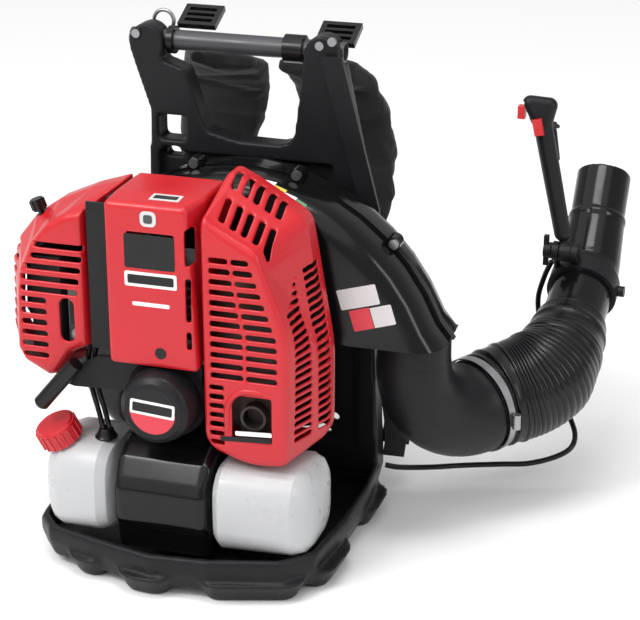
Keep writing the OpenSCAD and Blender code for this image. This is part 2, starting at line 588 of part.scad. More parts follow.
// ---- duct ----
bend_dir = unit([0.548, 0.836, 0]);
bend_z = 196.5;
bend_a = 97;
function bend_at(a) = [duct_x, duct_y, bend_z] + bend_dir * bend_r * (1 - cos(a)) - [0, 0, bend_r * sin(a)];
function bend_tan(a) = bend_dir * sin(a) - [0, 0, cos(a)];
flex_dir = bend_tan(bend_a);
flex_from = bend_at(bend_a) + 1.5 * flex_dir;
flex_to = [336, 232, 172];
pipe_dir = unit([0.03, 0.93, 0.37]);
flex = [flex_from, flex_from + 72 * flex_dir, flex_to - 112 * pipe_dir, flex_to];
elbow_wall = 3.3;
// Radius of the elbow, which widens towards the flexible pipe
function elbow_r(a) = neck_r + elbow_wall + 0.7 + 12 * pow(a / bend_a, 1.6);
module elbow() color(matte) difference() {
  union() {
    translate([duct_x, duct_y, bend_z]) cylinder(h = 224 - bend_z, r = neck_r + elbow_wall);
    loft(concat([ring([duct_x, duct_y, bend_z + 2], [0, 0, -1], elbow_r(0), 40)],
      [for (i = [0:12]) let (a = bend_a * i / 12) ring(bend_at(a), bend_tan(a), elbow_r(a), 40)],
      [ring(flex_from - 0.6 * flex_dir, flex_dir, elbow_r(bend_a), 40),
        ring(flex_from - 0.5 * flex_dir, flex_dir, 47.6, 40),
       ring(flex_from + 9 * flex_dir, flex_dir, 47.6, 40)]));
  }
  translate([duct_x, duct_y, neck_end - 0.2]) cylinder(h = 40, r = neck_r + run);
  loft(concat([ring([duct_x, duct_y, neck_end + 1], [0, 0, -1], neck_r - 1.5, 40)],
    [for (i = [0:12]) let (a = bend_a * i / 12) ring(bend_at(a), bend_tan(a), elbow_r(a) - 6, 40)],
    [ring(flex_from + 20 * flex_dir, flex_dir, 44.2, 40)]));
}
module clamp_band(c, d, r, w) difference() {
  rod_along(c, d, w, r + 1.4);
  rod_along(c - d, d, w + 2, r);
}
module duct_clamps() color(steel) {
  clamp_band(flex_from + 2 * flex_dir, flex_dir, 51.2, 9);
  rod_along(flex_from + 6 * flex_dir + 57 * unit(cross(flex_dir, [0, 0, 1])) - [0, 0, 8], [0, 0, 1], 16, 4.4);
}
// Flexible pipe from share a to share b of its length
flex_cuff = 0.11;
function flex_r(u) = lookup(u, [[0, 50], [flex_cuff, 50.2], [0.15, 53], [0.4, 54.5], [0.65, 54.5],
  [0.85, 46], [0.93, 40.5], [1, 39]]);
function flex_ring(u, r) = ring(bezier(flex, u), bezier_dir(flex, u), r, 32);
module flex_part(a, b, steps) loft_loop(split = true, rings = concat(
  [for (i = [0:steps]) let (u = mix(a, b, i / steps),
    rib = (u < flex_cuff || u > 0.9) ? 0 : 1.6 * sin(360 * ribs * u - 90))
    flex_ring(u, flex_r(u) + rib)],
  [for (i = [5:-1:0]) let (u = mix(a, b, i / 5)) flex_ring(u, flex_r(u) - (u < flex_cuff ? 1.6 : 3.8))]));
flex_cuts = [0, 0.38, 0.66, 1];
flex_gap = 0.002;
module bellows_lower() color(black) flex_part(flex_cuts[0], flex_cuts[1], 20);
module bellows_middle() color(black) flex_part(flex_cuts[1] + flex_gap, flex_cuts[2], 14);
module bellows_upper() color(black) flex_part(flex_cuts[2] + flex_gap, flex_cuts[3], 18);
pipe_knee = flex_to + 95 * pipe_dir;
tip_dir = unit([-0.01, 0.68, 0.73]);
module pipe_body(g, extra) loft([
  ring(flex_to + (2 - extra) * pipe_dir, pipe_dir, pipe_r - g, 36),
    ring(flex_to + 79 * pipe_dir, pipe_dir, pipe_r - g, 36),
  ring(pipe_knee, unit(pipe_dir + tip_dir), pipe_r - g, 36),
  ring(pipe_knee + 12 * tip_dir, tip_dir, pipe_r - 0.5 - g, 36),
    ring(pipe_knee + 60 * tip_dir, tip_dir, pipe_r - 2.5 - g, 36)]);
module blow_pipe() color(black) difference() {
  union() {
    pipe_body(0, 0);
    rod_along(pipe_knee + 58 * tip_dir, tip_dir, 60, pipe_r - 3.5);
    rod_along(pipe_knee + 58 * tip_dir, tip_dir, 6, pipe_r - 1.5);
    rod_along(flex_to + 0.2 * pipe_dir, pipe_dir, 6, pipe_r + 4);
    rod_along(pipe_knee + 61 * tip_dir + 27 * unit(cross(tip_dir, [0, 1, -1])),
      unit(cross(tip_dir, [0, 1, -1])), 7.5, 2.2);
  }
  pipe_body(3, 4);
  rod_along(pipe_knee + 40 * tip_dir, tip_dir, 100, pipe_r - 6.5);
}

// ---- control handle ----
grip_c = flex_to + 64 * pipe_dir;
side = unit(cross(pipe_dir, [0, 0, 1]));
top_dir = cross(side, pipe_dir);
pivot = grip_c + (pipe_r + 15) * top_dir - 18 * side;
module handle_clamp() color(black) difference() {
  union() {
    rod_along(grip_c - 11 * pipe_dir, pipe_dir, 22, pipe_r + 5);
    rod_along(grip_c + 30 * side, side, 16, 6);
    difference() {
      union() {
        rod_along(pivot - 14 * side, side, 28, 11);
        for (s = [-10.8, 10.8]) rod_along(pivot + s * side - 24 * top_dir, top_dir, 20, 3.4);
      }
      rod_along(pivot - 7.2 * side, side, 14.4, 13);
    }
  }
  rod_along(grip_c - 12 * pipe_dir, pipe_dir, 24, pipe_r + 0.1);
  rod_along(pivot - 20 * side, side, 40, 4 + run);
}
module clamp_knob() color(black) {
  rod_along(pivot - 16 * side, side, 31, 4);
  rod_along(pivot - 24 * side, side, 8, 9);
  translate(pivot - 22 * side) rotate([0, 0, atan2(side[1], side[0])]) cube([5, 7, 34], center = true);
}
stalk_dir = unit([-0.22, 0.02, 0.97]);
head = pivot + 166 * stalk_dir;
ear_from = head - 20 * stalk_dir;
trig = ear_from + [8.1, 18.3, -6];
trig_axis = unit([-0.915, 0.404, 0]);
module control_handle() color(matte) difference() {
  union() {
    rod_along(pivot - 7 * side, side, 14, 10.5);
    rod_along(pivot + 5 * stalk_dir, stalk_dir, 16, 4.4);
    hull() {
      translate(pivot + 22 * stalk_dir) sphere(r = 9.2, $fn = 24);
      translate(pivot + 90 * stalk_dir) sphere(r = 10, $fn = 24);
      translate(head - 20 * stalk_dir) sphere(r = 10.5, $fn = 24);
    }
    for (a = [-5.8, 5.8]) rod_along(ear_from + a * trig_axis, trig - ear_from, norm(trig - ear_from) + 1,
      2.6);
    rod_along(trig - 8 * trig_axis, trig_axis, 16, 2);
    hull() {
      translate(head - 20 * stalk_dir) sphere(r = 10.5, $fn = 24);
      translate(head + [-10, 0, 2]) sphere(r = 9, $fn = 24);
      translate(head + [10, 4, 0]) sphere(r = 9, $fn = 24);
    }
  }
  rod_along(pivot - 20 * side, side, 40, 4 + run);
  translate(head + [-24, -6, -18]) cube([14, 14, 22]);
}
module throttle_trigger() color(matte) difference() {
  union() {
    rod_along(trig - 2.8 * trig_axis, trig_axis, 5.6, 4.5);
    hull() {
      translate(trig + [1.2, 2.7, -6]) sphere(r = 2.6, $fn = 16);
      translate(trig + [4.4, 10, -40]) sphere(r = 3, $fn = 16);
    }
  }
  rod_along(trig - 5 * trig_axis, trig_axis, 10, 2 + run);
}
module stop_slider() color(red) translate(head + [2, -14, -20]) rotate([0, -12, 0])
  cube([10, 5, 18], center = true);
module stop_button() color(red) translate(head + [-19, 0, -8]) cube([8, 10, 14], center = true);
cable = [[161.5, 111, 34], [177, 114, 32], [208, 126, 31], [242, 148, 28], [277, 165, 26.5],
  [306, 175, 27], [332, 188, 32],
  [348, 200, 40], [350, 214, 50], [342, 228, 62], [328, 244, 80], [308, 266, 112], [294, 282, 146],
    [288, 290, 176],
  [294, 290, 204], [302, 286, 224]];
module throttle_cable() color(black) tube_along(cable, 3, 8);

backframe();
carry_bar();
bar_sleeves();
bar_bolts();
side_stay();
d_ring();
strap_buckles();
back_pad();
shoulder_pad_left();
shoulder_pad_right();
strap_webbing();
av_mounts();
fan_case_front();
fan_case_rear();
case_screws();
intake_grille();
impeller();
flywheel();
crankshaft();
crankcase();
bearings();
ignition_coil();
cylinder_body();  // cylinder
piston();
connecting_rod();
spark_plug();
plug_cap();
engine_shroud();
muffler();
exhaust_outlet();
carburettor();
choke_lever();
purge_bulb();
air_filter();
left_cover();
cover_knob();
centre_cover();
right_cover();
cover_screws();
starter_housing();
starter_pulley();
starter_rope();
starter_grip();
fuel_tank();
fuel_cap();
tank_saddle();
fuel_hoses();
elbow();
duct_clamps();
bellows_lower();
bellows_middle();
bellows_upper();
blow_pipe();
handle_clamp();
clamp_knob();
control_handle();
throttle_trigger();
stop_slider();
stop_button();
throttle_cable();
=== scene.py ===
"""Backpack leaf blower: materials, moulded shells, pads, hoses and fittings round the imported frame.

Everything is in metres in the frame's axes: X to the right of the engine side, Y towards the wearer, Z up.
Pieces are copies of CAD nodes with moulded edges, or new meshes placed from the boxes of CAD nodes.
"""
import json
import math

import bmesh
import bpy
from mathutils import Matrix, Vector
from mathutils.bvhtree import BVHTree
from mathutils.geometry import convex_hull_2d


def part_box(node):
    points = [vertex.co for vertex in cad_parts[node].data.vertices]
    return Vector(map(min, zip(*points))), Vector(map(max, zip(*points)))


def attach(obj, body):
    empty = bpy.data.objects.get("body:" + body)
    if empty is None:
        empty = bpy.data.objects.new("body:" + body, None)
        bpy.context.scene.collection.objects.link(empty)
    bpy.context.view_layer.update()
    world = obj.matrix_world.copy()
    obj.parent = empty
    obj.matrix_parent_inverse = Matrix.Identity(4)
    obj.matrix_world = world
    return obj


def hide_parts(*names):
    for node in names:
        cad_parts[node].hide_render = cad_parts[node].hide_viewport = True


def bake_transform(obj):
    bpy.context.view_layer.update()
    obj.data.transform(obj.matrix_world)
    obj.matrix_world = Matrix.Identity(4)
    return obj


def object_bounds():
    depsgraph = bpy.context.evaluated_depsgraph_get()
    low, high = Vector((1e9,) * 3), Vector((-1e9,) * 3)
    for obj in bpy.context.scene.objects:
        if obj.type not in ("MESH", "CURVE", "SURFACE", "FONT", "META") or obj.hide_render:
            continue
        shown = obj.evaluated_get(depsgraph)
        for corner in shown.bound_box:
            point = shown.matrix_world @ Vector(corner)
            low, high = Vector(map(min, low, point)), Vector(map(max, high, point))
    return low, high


MM = 0.001
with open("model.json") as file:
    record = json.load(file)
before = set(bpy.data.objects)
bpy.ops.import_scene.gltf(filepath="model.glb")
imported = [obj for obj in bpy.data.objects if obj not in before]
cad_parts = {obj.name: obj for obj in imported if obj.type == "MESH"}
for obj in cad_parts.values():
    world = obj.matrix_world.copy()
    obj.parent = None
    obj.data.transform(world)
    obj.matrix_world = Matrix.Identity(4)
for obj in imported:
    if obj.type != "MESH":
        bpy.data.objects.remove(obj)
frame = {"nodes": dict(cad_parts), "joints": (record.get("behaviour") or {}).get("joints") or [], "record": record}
nodes = frame["nodes"]
joints = {j["name"]: j for j in frame["joints"]}
body_of_node = {n: b for b, members in frame["record"]["behaviour"]["bodies"].items() for n in members}
slot_of_node = {s["node"]: s["material_slot"] for s in frame["record"]["subparts"]}
cad_low, cad_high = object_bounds()
scene = bpy.context.scene


def mm(*xyz):
    """A point given in millimetres."""
    return Vector(xyz) * MM


# ---- camera, floor and light ----
def look_at(obj, target):
    obj.rotation_mode = "QUATERNION"
    obj.rotation_quaternion = (target - obj.location).to_track_quat("-Z", "Y")


def around(azimuth, elevation, distance, target):
    a, e = math.radians(azimuth), math.radians(elevation)
    return target + distance * Vector((math.sin(a) * math.cos(e), -math.cos(a) * math.cos(e), math.sin(e)))


def add_camera():
    data = bpy.data.cameras.new("camera")
    data.sensor_width = 36
    data.lens = 106.875
    data.clip_end = 20
    camera = bpy.data.objects.new("camera", data)
    scene.collection.objects.link(camera)
    target = mm(122, 0, 252)
    camera.location = around(17.5, 21.5, 1.9, target)
    look_at(camera, target)
    scene.camera = camera


def add_softbox(name, azimuth, elevation, distance, size, watts):
    data = bpy.data.lights.new(name, "AREA")
    data.shape = "RECTANGLE"
    data.size, data.size_y = size
    data.energy = watts
    place_lamp(name, data, azimuth, elevation, distance)


def add_dome(name, azimuth, elevation, spread, strength):
    """A wide far light, even over the whole floor."""
    data = bpy.data.lights.new(name, "SUN")
    data.angle = math.radians(spread)
    data.energy = strength
    place_lamp(name, data, azimuth, elevation, 3)


def place_lamp(name, data, azimuth, elevation, distance):
    lamp = bpy.data.objects.new(name, data)
    scene.collection.objects.link(lamp)
    centre = mm(100, 0, 230)
    lamp.location = around(azimuth, elevation, distance, centre)
    look_at(lamp, centre)


def add_studio():
    world = bpy.data.worlds.new("studio")
    scene.world = world
    world.use_nodes = True
    background = world.node_tree.nodes["Background"]
    background.inputs["Color"].default_value = (1, 1, 1, 1)
    background.inputs["Strength"].default_value = 0.5
    scene.view_settings.view_transform = "Standard"
    add_dome("dome", -30, 62, 100, 1.6)
    add_softbox("key", -38, 46, 2.2, (0.9, 0.7), 22)
    add_softbox("fill", 72, 24, 2.6, (0.4, 1.4), 11)
    add_softbox("top", 10, 80, 2.0, (1.1, 0.35), 11)
    mesh = bpy.data.meshes.new("floor")
    half = 40
    mesh.from_pydata([(-half, -half, 0), (half, -half, 0), (half, half, 0), (-half, half, 0)], [], [(0, 1, 2, 3)])
    floor = bpy.data.objects.new("floor", mesh)
    floor.location.z = cad_low.z - 0.0002
    scene.collection.objects.link(floor)
    paint, graph = new_material("floor_paint", (0.93, 0.93, 0.93), 0.75)
    grain = graph.noise(40, 2)
    graph.bump(grain, 0.02, 0.001)
    mesh.materials.append(paint)


# ---- materials ----
class Graph:
    """A short way to wire one Principled material in object coordinates."""

    def __init__(self, material):
        self.tree = material.node_tree
        self.shader = self.tree.nodes["Principled BSDF"]
        self.coords = self.tree.nodes.new("ShaderNodeTexCoord").outputs["Object"]

    def link(self, a, b):
        self.tree.links.new(a, b)

    def stretched(self, x, y, z):
        mapping = self.tree.nodes.new("ShaderNodeMapping")
        mapping.inputs["Scale"].default_value = (x, y, z)
        self.link(self.coords, mapping.inputs["Vector"])
        return mapping.outputs["Vector"]

    def noise(self, scale, detail=3, coords=None):
        node = self.tree.nodes.new("ShaderNodeTexNoise")
        node.inputs["Scale"].default_value = scale
        node.inputs["Detail"].default_value = detail
        self.link(coords or self.coords, node.inputs["Vector"])
        return node.outputs["Fac"]

    def wave(self, scale, axis, distortion=0.0, coords=None):
        node = self.tree.nodes.new("ShaderNodeTexWave")
        node.bands_direction = axis
        node.inputs["Scale"].default_value = scale
        node.inputs["Distortion"].default_value = distortion
        self.link(coords or self.coords, node.inputs["Vector"])
        return node.outputs["Fac"]

    def math(self, kind, a, b):
        node = self.tree.nodes.new("ShaderNodeMath")
        node.operation = kind
        for socket, value in zip(node.inputs, (a, b)):
            if isinstance(value, (int, float)):
                socket.default_value = value
            else:
                self.link(value, socket)
        return node.outputs["Value"]

    def ramp(self, value, *stops):
        node = self.tree.nodes.new("ShaderNodeValToRGB")
        elements = node.color_ramp.elements
        while len(elements) < len(stops):
            elements.new(0.5)
        for element, (place, color) in zip(elements, stops):
            element.position = place
            element.color = color if len(color) == 4 else (*color, 1)
        self.link(value, node.inputs["Fac"])
        return node.outputs["Color"]

    def mix(self, factor, a, b):
        node = self.tree.nodes.new("ShaderNodeMix")
        node.data_type = "RGBA"
        for socket, value in ((node.inputs[0], factor), (node.inputs[6], a), (node.inputs[7], b)):
            if isinstance(value, (int, float)):
                socket.default_value = value
            elif isinstance(value, (tuple, list)):
                socket.default_value = (*value, 1)
            else:
                self.link(value, socket)
        return node.outputs[2]

    def edges(self, low, high):
        """0 on flat places, 1 on sharp outer edges."""
        geometry = self.tree.nodes.new("ShaderNodeNewGeometry")
        return self.ramp(geometry.outputs["Pointiness"], (low, (0, 0, 0)), (high, (1, 1, 1)))

    def color(self, value):
        self.link(value, self.shader.inputs["Base Color"])

    def roughness(self, value, low, high):
        self.link(self.ramp(value, (0.3, (low,) * 3), (0.7, (high,) * 3)), self.shader.inputs["Roughness"])

    def bump(self, height, strength, distance):
        node = self.tree.nodes.new("ShaderNodeBump")
        node.inputs["Strength"].default_value = strength
        node.inputs["Distance"].default_value = distance
        self.link(height, node.inputs["Height"])
        previous = self.shader.inputs["Normal"]
        if previous.is_linked:
            self.link(previous.links[0].from_socket, node.inputs["Normal"])
        self.link(node.outputs["Normal"], self.shader.inputs["Normal"])


def new_material(name, color, roughness, **sockets):
    material = bpy.data.materials.new(name)
    material.use_nodes = True
    graph = Graph(material)
    graph.shader.inputs["Base Color"].default_value = (*color, 1)
    graph.shader.inputs["Roughness"].default_value = roughness
    for socket, value in sockets.items():
        graph.shader.inputs[socket.replace("_", " ")].default_value = value
    return material, graph


def shade(color, factor):
    return tuple(min(1, c * factor) for c in color)


def plastic(name, color, rough, grain=0.0, wear_and_highlight_gain=1.35, **sockets):
    """Moulded plastic: faint colour flow marks, uneven gloss, rubbing and a painted highlight on edges, fine spark
    grain.
    """
    material, graph = new_material(name, color, rough, **sockets)
    flow = graph.noise(9, 4)
    body = graph.mix(flow, shade(color, 0.9), shade(color, 1.08))
    # Sharp edges lightened in patches: partly wear from rubbing, partly a painted highlight along the edges.
    rubbed_and_highlit_edges = graph.math("MULTIPLY", graph.edges(0.56, 0.68), graph.noise(60, 3))
    graph.color(graph.mix(rubbed_and_highlit_edges, body, tuple(min(1, c * wear_and_highlight_gain + 0.03) for c in color)))
    graph.roughness(graph.noise(35, 5), rough * 0.82, min(1, rough * 1.2))
    graph.bump(graph.noise(14, 2), 0.06, 0.002)
    if grain:
        graph.bump(graph.noise(1800, 2), grain, 0.0003)
    return material


def metal(name, color, rough, brushed=(1, 1, 1), stain=None):
    """Metal with fine brushing along one axis, handling marks and, if given, a stain."""
    material, graph = new_material(name, color, rough, Metallic=1.0)
    brush = graph.noise(900, 3, graph.stretched(*brushed))
    marks = graph.noise(28, 5)
    tint = graph.mix(marks, shade(color, 0.82), shade(color, 1.12))
    if stain:
        tint = graph.mix(graph.ramp(graph.noise(11, 6), (0.48, (0, 0, 0)), (0.66, (1, 1, 1))), tint, stain)
    graph.color(tint)
    graph.roughness(marks, rough * 0.7, min(1, rough * 1.4))
    graph.bump(brush, 0.12, 0.0002)
    return material


def rubber(name, color, rough):
    """Rubber with a dusty bloom and a fine skin."""
    material, graph = new_material(name, color, rough, Specular_IOR_Level=0.3)
    dust = graph.ramp(graph.noise(24, 6), (0.5, (0, 0, 0)), (0.8, (0.35, 0.35, 0.35)))
    graph.color(graph.mix(dust, color, shade(color, 2.2)))
    graph.roughness(graph.noise(50, 4), rough * 0.8, min(1, rough * 1.15))
    graph.bump(graph.noise(700, 3), 0.1, 0.0003)
    return material


def woven(name, color, thread, sheen=0.35, rough=0.9):
    """Cloth woven crosswise, one thread every `thread` metres, with painted shade in the gaps of the weave and faded
    patches.
    """
    material, graph = new_material(name, color, rough, Sheen_Weight=sheen, Sheen_Roughness=0.45)
    per_metre = math.pi / thread / 10
    across = graph.wave(per_metre, "X", 0.4)
    along = graph.wave(per_metre, "Z", 0.4)
    deep = graph.wave(per_metre, "Y", 0.4)
    weave_relief_and_gap_shade = graph.math("MAXIMUM", graph.math("MULTIPLY", across, along), graph.math("MULTIPLY", deep, across))
    faded = graph.mix(graph.noise(13, 4), shade(color, 0.75), shade(color, 1.3))
    # The gaps of the weave are darkened as painted shade; the same mask also gives the thread relief.
    graph.color(graph.mix(weave_relief_and_gap_shade, shade(color, 0.6), faded))
    graph.bump(weave_relief_and_gap_shade, 0.5, 0.0006)
    graph.bump(graph.noise(60, 3), 0.15, 0.002)
    return material


def milky(name):
    """Blown tank plastic: light passes into it, with a faint mottle."""
    color = (0.47, 0.475, 0.485)
    material, graph = new_material(name, color, 0.32, Subsurface_Weight=0.35, Subsurface_Scale=0.008,
                                   Coat_Weight=0.1)
    graph.shader.inputs["Subsurface Radius"].default_value = (1.0, 0.9, 0.85)
    graph.color(graph.mix(graph.noise(16, 5), (0.45, 0.455, 0.465), (0.50, 0.507, 0.515)))
    graph.roughness(graph.noise(40, 4), 0.24, 0.42)
    graph.bump(graph.noise(16, 2), 0.08, 0.002)
    graph.bump(graph.noise(900, 2), 0.04, 0.0003)
    return material


MATERIALS = {
    "red_shell": plastic("red_shell", (0.50, 0.010, 0.017), 0.34, 0.03, 1.1,
                         Specular_IOR_Level=0.4, Coat_Weight=0.15, Coat_Roughness=0.1),
    "black_gloss": plastic("black_gloss", (0.004, 0.004, 0.0045), 0.16, 0.02, 2.0, Specular_IOR_Level=0.3),
    "black_matte": plastic("black_matte", (0.010, 0.010, 0.0115), 0.38, 0.2, 1.9, Specular_IOR_Level=0.2),
    "tank_plastic": milky("tank_plastic"),
    "bar_steel": plastic("bar_steel", (0.042, 0.042, 0.048), 0.34, 0.15, 1.8),
    "bright_steel": metal("bright_steel", (0.36, 0.36, 0.38), 0.33, (1, 12, 1)),
    "cast_alloy": metal("cast_alloy", (0.33, 0.33, 0.34), 0.5, (2, 2, 2)),
    "muffler_steel": metal("muffler_steel", (0.075, 0.065, 0.065), 0.6, (1, 6, 1), (0.06, 0.035, 0.025)),
    "rubber_black": rubber("rubber_black", (0.004, 0.004, 0.005), 0.25),
    "pad_fabric": woven("pad_fabric", (0.012, 0.012, 0.014), 0.0016, 0.2),
    "web_fabric": woven("web_fabric", (0.013, 0.013, 0.015), 0.0022, 0.3, 0.75),
    "filter_foam": rubber("filter_foam", (0.03, 0.032, 0.03), 0.95),
    "rope_fibre": woven("rope_fibre", (0.5, 0.5, 0.46), 0.0012, 0.2, 0.8),
    "ceramic_white": plastic("ceramic_white", (0.7, 0.7, 0.68), 0.25, 0.0, 1.0),
    "signal_red": plastic("signal_red", (0.56, 0.012, 0.016), 0.28, 0.04, 1.2),
    "label_white": plastic("label_white", (0.80, 0.80, 0.79), 0.4, 0.0, 1.0),
    "label_silver": plastic("label_silver", (0.58, 0.57, 0.57), 0.3, 0.0, 1.0),
    "label_yellow": plastic("label_yellow", (0.62, 0.52, 0.06), 0.35, 0.0, 1.0),
    "label_green": plastic("label_green", (0.10, 0.30, 0.16), 0.35, 0.0, 1.0),
    "label_red": plastic("label_red", (0.60, 0.03, 0.05), 0.35, 0.0, 1.0),
}
HOT = ("muffler", "exhaust_outlet")  # shown in stained steel, whatever their slot


# ---- mesh helpers ----
def link_mesh(name, mesh, material):
    obj = bpy.data.objects.new(name, mesh)
    scene.collection.objects.link(obj)
    mesh.materials.clear()
    mesh.materials.append(MATERIALS[material] if isinstance(material, str) else material)
    return obj


def settle(obj):
    """Applies the object's modifiers to its mesh."""
    evaluated = obj.evaluated_get(bpy.context.evaluated_depsgraph_get())
    mesh = bpy.data.meshes.new_from_object(evaluated)
    material = obj.data.materials[0]
    obj.modifiers.clear()
    obj.data = mesh
    mesh.materials.clear()
    mesh.materials.append(material)
    return obj


def drop_stored_normals(mesh):
    stored = mesh.attributes.get("custom_normal")
    if stored:
        mesh.attributes.remove(stored)


def weld(mesh, reach=0.01 * MM):
    work = bmesh.new()
    work.from_mesh(mesh)
    bmesh.ops.remove_doubles(work, verts=work.verts, dist=reach)
    work.to_mesh(mesh)
    work.free()
    drop_stored_normals(mesh)


def smooth_shading(mesh, sharp_degrees=35):
    mesh.polygons.foreach_set("use_smooth", [True] * len(mesh.polygons))
    mesh.set_sharp_from_angle(angle=math.radians(sharp_degrees))


def copy_of(node, name):
    mesh = nodes[node].data.copy()
    obj = link_mesh(name, mesh, slot_of_node[node])
    weld(mesh)
    return obj


def stands_for(obj, *names):
    """The piece replaces CAD nodes, and rides where the first one does."""
    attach(obj, body_of_node[names[0]])
    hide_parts(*names)
    return obj


def moulded(node, voxel, relax=4, keep=0.45):
    """A copy of a CAD node whose edges are rounded as a mould rounds them."""
    obj = copy_of(node, node + "_moulded")
    remesh = obj.modifiers.new("remesh", "REMESH")
    remesh.mode = "VOXEL"
    remesh.voxel_size = voxel * MM
    soften = obj.modifiers.new("soften", "SMOOTH")
    soften.factor = 0.5
    soften.iterations = relax
    thin = obj.modifiers.new("thin", "DECIMATE")
    thin.ratio = keep
    settle(obj)
    smooth_shading(obj.data, 60)
    return stands_for(obj, node)


def dressed(node, bevel=0.3, sharp=32):
    """A CAD node that stays, with its material and broken edges."""
    obj = nodes[node]
    mesh = obj.data
    drop_stored_normals(mesh)
    mesh.materials.clear()
    mesh.materials.append(MATERIALS["muffler_steel" if node in HOT else slot_of_node[node]])
    mesh.polygons.foreach_set("use_smooth", [True] * len(mesh.polygons))
    merge = obj.modifiers.new("weld", "WELD")
    merge.merge_threshold = 0.01 * MM
    edge = obj.modifiers.new("bevel", "BEVEL")
    edge.width = bevel * MM
    edge.segments = 2
    edge.limit_method = "ANGLE"
    edge.angle_limit = math.radians(sharp)
    edge.harden_normals = True


# ---- round hoses and tubes ----
def bezier(points, u):
    a, b, c, d = points
    v = 1 - u
    return v**3 * a + 3 * v * v * u * b + 3 * v * u * u * c + u**3 * d


def through(points, u):
    """A smooth curve through points, at share u of its length in points."""
    last = len(points) - 1
    i = min(int(u * last), last - 1)
    t = u * last - i
    p0, p1, p2, p3 = (points[max(0, min(last, i + k))] for k in (-1, 0, 1, 2))
    squared, cubed = 2 * p0 - 5 * p1 + 4 * p2 - p3, 3 * p1 - p0 - 3 * p2 + p3
    return 0.5 * (2 * p1 + (p2 - p0) * t + squared * t * t + cubed * t**3)


def hose(name, centre, radius, start, stop, steps, sides, material, wall=None):
    """A round tube along centre(u), with radius(u). With a wall it is open at both ends."""
    shares = [start + (stop - start) * i / steps for i in range(steps + 1)]
    points = [centre(u) for u in shares]
    turns = [(points[min(i + 1, steps)] - points[max(i - 1, 0)]).normalized() for i in range(steps + 1)]
    side = turns[0].orthogonal().normalized()
    outer, inner = [], []
    for u, point, turn in zip(shares, points, turns):
        side = (side - side.dot(turn) * turn).normalized()
        up = turn.cross(side)
        angles = [2 * math.pi * k / sides for k in range(sides)]
        spokes = [math.cos(a) * side + math.sin(a) * up for a in angles]
        outer.append([point + radius(u) * spoke for spoke in spokes])
        if wall:
            inner.append([point + (radius(u) - wall) * spoke for spoke in spokes])
    rings = outer + inner[::-1]
    mesh = bpy.data.meshes.new(name)
    quads = [(j * sides + k, j * sides + (k + 1) % sides, (j + 1) % len(rings) * sides + (k + 1) % sides,
              (j + 1) % len(rings) * sides + k)
             for j in range(len(rings) if wall else len(rings) - 1) for k in range(sides)]
    ends = [] if wall else [tuple(range(sides))[::-1], tuple((len(rings) - 1) * sides + k for k in range(sides))]
    mesh.from_pydata([v for ring in rings for v in ring], [], quads + ends)
    smooth_shading(mesh, 50)
    return link_mesh(name, mesh, material)


FLEX_CURVE = [mm(259.9, 103, 120.8), mm(299, 162.8, 129.5), mm(332.6, 128, 130.6), mm(336, 232, 172)]
# (share of the length, radius in millimetres)
FLEX_RADII = [(0, 50.0), (0.11, 50.4), (0.16, 53.0), (0.4, 54.5), (0.65, 54.2), (0.85, 46.5), (0.93, 41.5),
              (1, 39.5)]
RIB_FROM, RIB_TO, RIBS = 0.30, 0.90, 16
RIB_HEIGHT, RIB_SUNK = 1.3, 0.9
# (share of the length, half width as a share, height in millimetres)
CUFF_BANDS = ((0.085, 0.016, 2.0), (0.135, 0.014, 1.8), (0.262, 0.022, 1.6), (0.955, 0.014, 1.6))
FLEX_MIDDLE = 0.52
FLEX_WALL = 1.4 * MM


def flex_radius(u):
    """Radius of the flexible pipe at share u of its length."""
    for (u0, r0), (u1, r1) in zip(FLEX_RADII, FLEX_RADII[1:]):
        if u <= u1:
            t = (u - u0) / (u1 - u0)
            base = r0 + (r1 - r0) * t * t * (3 - 2 * t)
            break
    if RIB_FROM < u < RIB_TO:
        phase = (u - RIB_FROM) / (RIB_TO - RIB_FROM) * RIBS
        return (base - RIB_SUNK + RIB_HEIGHT * math.sqrt(abs(math.sin(math.pi * phase)))) * MM
    bands = sum(height * math.exp(-(((u - place) / width) ** 4)) for place, width, height in CUFF_BANDS)
    return (base + bands) * MM


def add_flexible_pipe():
    """One rubber hose in two lengths that meet on the middle ring."""
    yaw, pitch = (Vector(joints[j]["pos_m"]) for j in ("flex_yaw", "flex_pitch"))
    lower, upper = (
        hose(name, lambda u: bezier(FLEX_CURVE, u), flex_radius, start, stop, steps, 72, "rubber_black", FLEX_WALL)
        for name, start, stop, steps in (("flex_hose_lower", 0, FLEX_MIDDLE, 190),
                                         ("flex_hose_upper", FLEX_MIDDLE, 1, 170)))
    for obj, a, b, centre, stands in (
        (lower, "elbow", "flex_middle", yaw, ("bellows_lower",)),
        (upper, "flex_middle", "pipe", pitch, ("bellows_middle", "bellows_upper")),
    ):
        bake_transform(obj)
        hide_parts(*stands)


CABLE_RADIUS = 3 * MM
CABLE = [mm(*p) for p in (
    (161.5, 111, 34), (177, 114, 32), (208, 126, 31), (242, 148, 28), (277, 165, 26.5), (306, 175, 27),
    (332, 188, 32), (348, 200, 40), (350, 214, 50), (342, 228, 62), (328, 244, 80), (308, 266, 112),
    (294, 282, 146), (288, 290, 176), (294, 290, 204), (302, 286, 224))]


def add_throttle_cable():
    """The cable from the frame to the pipe, in three lengths."""
    last = len(CABLE) - 1
    cuts = [("cable_low", 0, 5, "frame", "elbow"), ("cable_turn", 5, 9, "elbow", "flex_middle"),
            ("cable_high", 9, last, "flex_middle", "pipe")]
    for name, i, j, a, b in cuts:
        obj = hose(name, lambda u: through(CABLE, u), lambda u: CABLE_RADIUS, i / last, j / last, (j - i) * 8, 16,
                   "rubber_black")
        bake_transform(obj)
        if i == 0:
            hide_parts("throttle_cable")


